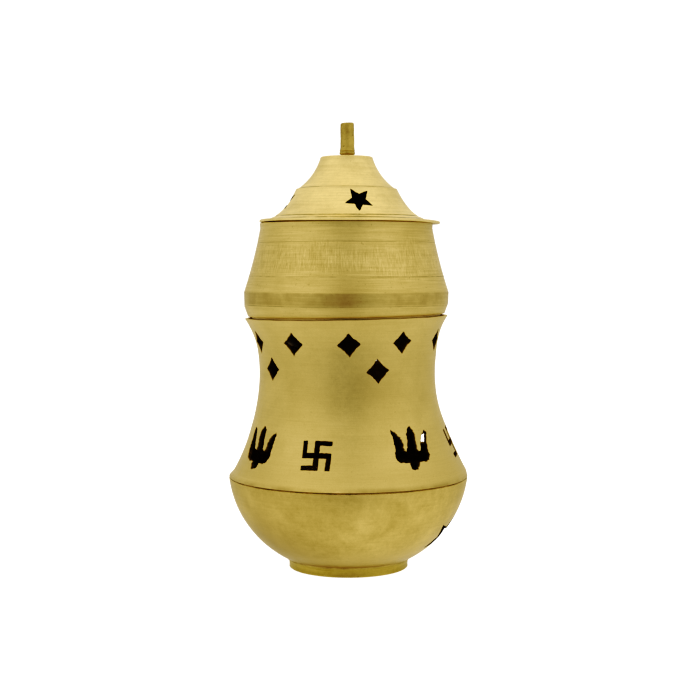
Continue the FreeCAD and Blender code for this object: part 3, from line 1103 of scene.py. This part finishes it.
THROAT_RADIUS = 29.45
RIM_RADIUS = 29.6
CUP_SWEEP = 166.0
BAND_TOP = 95.0
BAND_FOOT = 90.8
SHOULDER = (33.8, 87.3)
SHOULDER_TILT = 0.58
SHOULDER_DIP = 0.22
NECK_FIT = (32.3, 85.25)
CUP_FLOOR = 9.0
CUP_BOTTOM_SWEEP = 47.5
SCRIBE_WIDTH = 0.3
SCRIBE_DEPTH = 0.035


def cup_form(point):
    """The wall waves a little, and the shoulder that lies on the mouth is tilted."""
    wave = ripple(point, 26.0, 0.06, seed=6.1) + ripple(point, 7.0, 0.015, seed=7.7)
    moved = pushed_out(point, wave * ease(point.z, SHOULDER[1], SHOULDER[1] + 3))
    tilt = SHOULDER_TILT * point.x / SHOULDER[0] - SHOULDER_DIP
    tilt *= ease(point.z, SHOULDER[1] - 2, SHOULDER[1])
    tilt *= ease(point.z, BAND_TOP, BAND_FOOT)
    return moved + Vector((0, 0, tilt))


def make_cup():
    outside = trace(
        [
            (0, CUP_BOTTOM),
            (CUP_FLOOR, CUP_BOTTOM, CUP_BOTTOM_SWEEP),
            NECK_FIT,
            (NECK_FIT[0], SHOULDER[1]),
            (SHOULDER[0] - 0.15, SHOULDER[1]),
            (SHOULDER[0], SHOULDER[1] + 0.2),
            (BAND_RADIUS - 0.35, BAND_FOOT - 0.75),
            (BAND_RADIUS - 0.15, BAND_FOOT - 0.1),
            (BAND_RADIUS - 0.02, BAND_TOP - 0.15),
            (BAND_RADIUS - 0.12, BAND_TOP + 0.1, -CUP_SWEEP),
            (THROAT_RADIUS, CUP_RIM - 1.8),
            (RIM_RADIUS, CUP_RIM - 0.2),
            (RIM_RADIUS - 0.2, CUP_RIM),
        ],
        step=0.35,
    )
    inside = thin_out(inside_of(outside[:-3], WALL), INNER_STEP)
    inside.insert(0, Vector((RIM_RADIUS - WALL, CUP_RIM)))
    inside.append(Vector((0, CUP_BOTTOM + WALL)))
    outside = scribed(outside, SCRIBED_HEIGHTS, SCRIBE_WIDTH, SCRIBE_DEPTH)
    runs = [(outside, 0), (inside, 1)]
    piece = lathe("cup_shell", runs, [cup_outside, cup_inside_brass], cup_form)
    shift_aside(piece, CUP_LEAN)
    smooth(piece, 28)
    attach(piece, "cup")
    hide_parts("cup")


# -------- lid, its ring, stem and washer

CONE_FOOT = 27.4
CONE_FOOT_SWEEP = 12.5
CONE_LOW = (21.9, 122.8)
CONE_LOW_SWEEP = 29.0
STEP = (17.0, STEP_HEIGHT)
CONE_TOP_SWEEP = 19.7
CONE_TOP_RADIUS = 8.85
LID_GROOVE_WIDTH = 0.34
LID_GROOVE_DEPTH = 0.2

# the size of the lid's stars, and the cone's radius, height and lean where their row runs
LID_STAR_RADIUS = 4.9
LID_STAR_ROW = (19.9, 125.5, 45)

# turn and tilt of each star in the lid
LID_STARS = ((-84, 18), (12, 29.3), (98, 20), (187, 30))

# the brim: how far to the left it was trimmed, its rise at the left and its droop at the right
BRIM_TRIM = 0.15
BRIM_RISE = 0.2
BRIM_DROOP = 0.35


def lid_form(point):
    """The brim was trimmed off centre, and it droops a little where it sticks out."""
    out = ease(math.hypot(point.x, point.y), CONE_FOOT - 0.6, CONE_FOOT + 0.4)
    wave = ripple(point, 24.0, 0.06, seed=9.4)
    droop = out * (BRIM_RISE * ease(-point.x, 6, 27) - BRIM_DROOP * ease(point.x, 18, 31))
    flutter = ripple(Vector((point.x, point.y, 0)), 14.0, 0.12, seed=2.9) * out
    moved = pushed_out(point, wave * (1 - out))
    return moved + Vector(((BRIM_OFFSET - BRIM_TRIM) * out, 0, droop + flutter))


def make_lid():
    brim_top = BRIM_BOTTOM + LID_WALL
    outside = trace(
        [
            (BRIM_RADIUS - 0.35, BRIM_BOTTOM),
            (BRIM_RADIUS - 0.1, BRIM_BOTTOM + 0.12),
            (BRIM_RADIUS, BRIM_BOTTOM + 0.4),
            (BRIM_RADIUS - 0.12, BRIM_BOTTOM + 0.75),
            (BRIM_RADIUS - 0.45, brim_top - 0.05),
            (CONE_FOOT + 0.1, brim_top),
            (CONE_FOOT - 0.1, brim_top + 0.12, -CONE_FOOT_SWEEP),
            (*CONE_LOW, -CONE_LOW_SWEEP),
            (STEP[0] + 0.32, STEP[1] - 0.42),
            (STEP[0] + 0.3, STEP[1] - 0.3),
            (STEP[0] + 0.12, STEP[1] - 0.14),
            (STEP[0] - 0.45, STEP[1] - 0.08),
            (STEP[0] - 0.5, STEP[1], -CONE_TOP_SWEEP),
            (CONE_TOP_RADIUS + 0.05, LID_TOP - 0.25),
            (CONE_TOP_RADIUS - 0.3, LID_TOP - 0.02),
            (0, LID_TOP - 0.02),
        ],
        step=0.3,
    )
    cone = [p for p in outside if p.y > brim_top + 0.1]
    inside = thin_out(inside_of(cone, LID_WALL), INNER_STEP)
    inside[0] = Vector((0, LID_TOP - LID_WALL))
    inside.append(Vector((CONE_FOOT - LID_WALL, BRIM_BOTTOM)))
    outside = scribed(outside, LID_GROOVES, LID_GROOVE_WIDTH, LID_GROOVE_DEPTH)
    runs = [(outside, 0), (inside, 1)]
    piece = lathe("lid_shell", runs, [lid_outside, cup_inside_brass], lid_form)

    def openings(tools):
        radius, height, lean = LID_STAR_ROW
        for turn, tilt in LID_STARS:
            outline = hand_sawn(star(LID_STAR_RADIUS, tilt), f"star {turn}", jitter=0.09, step=0.7)
            saw_tool(tools, outline, turn, (radius, height), lean, outside)

    saw(piece, openings, star_shade_brass)
    shift_aside(piece, LID_LEAN)
    smooth(piece, 28)
    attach(piece, "lid")
    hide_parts("lid")


RING_WALL = 0.8


def make_lid_ring():
    inner = RING_RADIUS - RING_WALL
    outline = trace(
        [
            (inner, RING_BOTTOM + 0.15),
            (inner + 0.15, RING_BOTTOM),
            (RING_RADIUS - 0.15, RING_BOTTOM),
            (RING_RADIUS, RING_BOTTOM + 0.15),
            (RING_RADIUS, BRIM_BOTTOM - 0.01),
            (inner, BRIM_BOTTOM - 0.01),
        ],
        step=0.5,
    )
    piece = lathe("lid_ring_turned", [(outline, 0)], [cup_inside_brass])
    smooth(piece, 50)
    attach(piece, "lid")
    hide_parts("lid_ring")


STEM_RADIUS = 2.36
STEM_FOOT_RADIUS = 2.68
TAIL_RADIUS = 1.5
TAIL_HEAD_RADIUS = 2.4
TAIL_CLEARANCE = 0.05
ROUND_SEGMENTS = 96


def stem_form(point):
    """Rough as cast, with its top sawn a little out of square."""
    above = ease(point.z, LID_TOP + 0.3, LID_TOP + 1.5)
    rough = ripple(point, 2.4, 0.09, seed=5.5) + ripple(point, 0.8, 0.05, seed=1.9)
    slant = 0.04 * point.x * ease(point.z, STEM_TOP - 1.5, STEM_TOP)
    slant -= 0.03 * ease(point.z, STEM_TOP - 1.0, STEM_TOP)
    return pushed_out(point, rough * above) + Vector((0, 0, slant))


def make_stem():
    foot = LID_TOP + 0.8
    outline = trace(
        [
            (0, TAIL_BOTTOM),
            (TAIL_HEAD_RADIUS * 0.6, TAIL_BOTTOM + 0.15, 4.0),
            (TAIL_HEAD_RADIUS, WASHER_BOTTOM - 0.01),
            (TAIL_RADIUS, WASHER_BOTTOM - 0.01),
            (TAIL_RADIUS, LID_TOP - 0.02),
            (STEM_RADIUS - 0.1, LID_TOP),
            (STEM_RADIUS - 0.15, foot - 0.1),
            (STEM_FOOT_RADIUS - 0.1, foot),
            (STEM_FOOT_RADIUS, foot + 0.2),
            (STEM_FOOT_RADIUS - 0.05, foot + 0.8),
            (STEM_FOOT_RADIUS - 0.18, foot + 1.0),
            (STEM_FOOT_RADIUS - 0.04, foot + 1.2, -6.0),
            (STEM_RADIUS, foot + 3.4),
            (STEM_RADIUS - 0.05, STEM_TOP - 0.35),
            (STEM_RADIUS - 0.35, STEM_TOP),
            (0, STEM_TOP),
        ],
        step=0.22,
    )
    piece = lathe("stem_rod", [(outline, 0)], [stem_rough], stem_form, segments=ROUND_SEGMENTS)
    smooth(piece, 40)
    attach(piece, "lid")
    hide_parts("lid_stem")


def make_washer():
    hole = TAIL_RADIUS + TAIL_CLEARANCE
    outline = trace(
        [
            (hole, WASHER_BOTTOM + 0.01),
            (WASHER_RADIUS - 0.2, WASHER_BOTTOM + 0.01),
            (WASHER_RADIUS, WASHER_BOTTOM + 0.2),
            (WASHER_RADIUS, WASHER_TOP - 0.1),
            (WASHER_RADIUS - 0.1, WASHER_TOP - 0.01),
            (hole, WASHER_TOP - 0.01),
        ],
        step=0.3,
    )
    piece = lathe("washer_turned", [(outline, 0)], [stem_rough], segments=ROUND_SEGMENTS)
    smooth(piece, 50)
    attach(piece, "lid")
    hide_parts("stem_washer")


# -------- fuel dish

DISH_WALL = 0.8
DISH_FLOOR_RADIUS = 11.8
DISH_HEEL = (12.2, DISH_BOTTOM + 0.3)
DISH_SWEEP = 16.0


def make_dish():
    outside = trace(
        [
            (0, DISH_BOTTOM),
            (DISH_FLOOR_RADIUS, DISH_BOTTOM),
            (*DISH_HEEL, DISH_SWEEP),
            (DISH_RADIUS - 0.05, DISH_TOP - 0.25),
            (DISH_RADIUS - 0.2, DISH_TOP),
        ]
    )
    inside = thin_out(inside_of(outside[:-1], DISH_WALL), 0.8)
    inside.insert(0, Vector((DISH_RADIUS - DISH_WALL, DISH_TOP)))
    inside.append(Vector((0, DISH_BOTTOM + DISH_WALL)))

    def beaten(point):
        wave = ripple(point, 8.0, 0.1, seed=3.7)
        return pushed_out(point, wave * ease(point.z, DISH_BOTTOM + 2, DISH_TOP))

    piece = lathe("dish_shell", [(outside, 0), (inside, 0)], [dish_brass], beaten)
    smooth(piece)
    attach(piece, "dish")
    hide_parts("fuel_dish")


# -------- floor, lights and camera

# the camera: metres from the axis, above the floor and to the right, and how far it looks down
CAMERA_DISTANCE = 0.4845
CAMERA_HEIGHT = 0.10405
CAMERA_ASIDE = 0.00093
CAMERA_DROP = math.radians(3.45)
LENS = 72.51

# the tent's light at each height and as the camera sees it, and the dark round the lens: where it
# is, how wide and how dark
HORIZON_LIGHT = 0.83
HIGH_LIGHT = 1.0
ZENITH_LIGHT = 1.25
LOW_LIGHT = 1.0
SEEN_LIGHT = 1.2
LENS_DIRECTION = (0, -1, -0.04)
LENS_DARK_ANGLES = (40, 8)
LENS_DARK = 0.6

FLOOR_REACH = 3.0
FLOOR_BASE = 0.45
FLOOR_GLOW = 0.95

# name, place and power of each softbox, and what they all point at, in metres and watts
SOFTBOXES = (
    ("left_softbox", (-0.75, -0.6, 0.55), 0.7),
    ("right_softbox", (0.8, -0.55, 0.5), 0.55),
)
SOFTBOX_SIZE = 1.2
SOFTBOX_AIM = (0, 0, 0.07)

# the print's tones: a brightness, and what it is shown as
PRINT_TONES = ((0.1, 0.025), (0.3, 0.24), (0.6, 0.567))


def floor_finish():
    """A matt white that glows as well, so that it comes out as white as the background."""
    material = bpy.data.materials.new("floor_white")
    material.use_nodes = True
    settings = {
        "Base Color": colour(FLOOR_BASE, FLOOR_BASE, FLOOR_BASE),
        "Roughness": 0.9,
        "Specular IOR Level": 0.2,
        "Emission Color": colour(1, 1, 1),
        "Emission Strength": FLOOR_GLOW,
    }
    shader = material.node_tree.nodes["Principled BSDF"]
    for socket, value in settings.items():
        shader.inputs[socket].default_value = value
    return material


def make_floor():
    """A white sheet. The brass reflects the studio's own light from below instead of it."""
    mesh = bpy.data.meshes.new("floor")
    signs = ((-1, -1), (1, -1), (1, 1), (-1, 1))
    corners = [(x * FLOOR_REACH, y * FLOOR_REACH, 0) for x, y in signs]
    mesh.from_pydata(corners, [], [(0, 1, 2, 3)])
    mesh.materials.append(floor_finish())
    floor = new_object("floor", mesh)
    floor.visible_glossy = False


def make_world():
    """A white tent: brightest overhead, dimmer at the horizon, and dark round the lens."""
    world = bpy.data.worlds.new("studio")
    bpy.context.scene.world = world
    world.use_nodes = True
    tree = world.node_tree
    tree.nodes.clear()
    toward = node(tree, "ShaderNodeTexCoord").outputs["Generated"]
    lift = node(tree, "ShaderNodeSeparateXYZ", {0: toward}).outputs[2]
    strength = HORIZON_LIGHT
    for start, end, change in (
        (0.05, 0.55, HIGH_LIGHT - HORIZON_LIGHT),
        (0.7, 1.0, ZENITH_LIGHT - HIGH_LIGHT),
        (-0.1, -0.6, LOW_LIGHT - HORIZON_LIGHT),
    ):
        strength = plus(tree, strength, spread(tree, lift, start, end, 0.0, change))
    ahead = vectors(tree, "DOT_PRODUCT", {0: toward, 1: LENS_DIRECTION}, "Value")
    edge, core = (math.cos(math.radians(angle)) for angle in LENS_DARK_ANGLES)
    shade = spread(tree, ahead, edge, core, 1.0, LENS_DARK)
    strength = times(tree, strength, shade)
    seen = node(tree, "ShaderNodeLightPath").outputs["Is Camera Ray"]
    strength = maths(tree, "MAXIMUM", strength, times(tree, seen, SEEN_LIGHT))
    inputs = {"Color": colour(1, 1, 1), "Strength": strength}
    background = node(tree, "ShaderNodeBackground", inputs)
    output = node(tree, "ShaderNodeOutputWorld")
    tree.links.new(background.outputs[0], output.inputs[0])


def make_lights():
    for name, place, power in SOFTBOXES:
        light = bpy.data.lights.new(name, "AREA")
        light.shape = "RECTANGLE"
        light.size = light.size_y = SOFTBOX_SIZE
        light.energy = power
        box = new_object(name, light)
        box.location = place
        toward = Vector(SOFTBOX_AIM) - Vector(place)
        box.rotation_euler = toward.to_track_quat("-Z", "Y").to_euler()


def make_camera():
    lens = bpy.data.cameras.new("camera")
    lens.lens = LENS
    lens.clip_start = 0.01
    camera = new_object("camera", lens)
    camera.location = (CAMERA_ASIDE, -CAMERA_DISTANCE, CAMERA_HEIGHT)
    camera.rotation_euler = (math.pi / 2 - CAMERA_DROP, 0, 0)
    bpy.context.scene.camera = camera


def set_print_look():
    """A product print's deep blacks: the darkest tones drop out and the dark ones gain colour."""
    look = bpy.context.scene.view_settings
    look.view_transform = "Standard"
    look.use_curve_mapping = True
    tones = look.curve_mapping.curves[3]
    for value, shown in PRINT_TONES:
        tones.points.new(value, shown)
    look.curve_mapping.update()


make_foot_ring()
make_bowl()
make_waist()
bead("seam_braze", SEAM_RADIUS - 0.52, SEAM_HEIGHT, size=0.3, seed=2.0, lumps=((0.4, 0.8, 1.3),))
bead(
    "foot_braze",
    FOOT_TOP_RADIUS,
    FOOT_TOP_HEIGHT + 0.12,
    size=0.42,
    seed=7.0,
    lump=0.4,
    finish=stem_rough,
)
make_cup()
make_lid()
make_lid_ring()
make_stem()
make_washer()
make_dish()
make_floor()
make_world()
make_lights()
make_camera()
set_print_look()
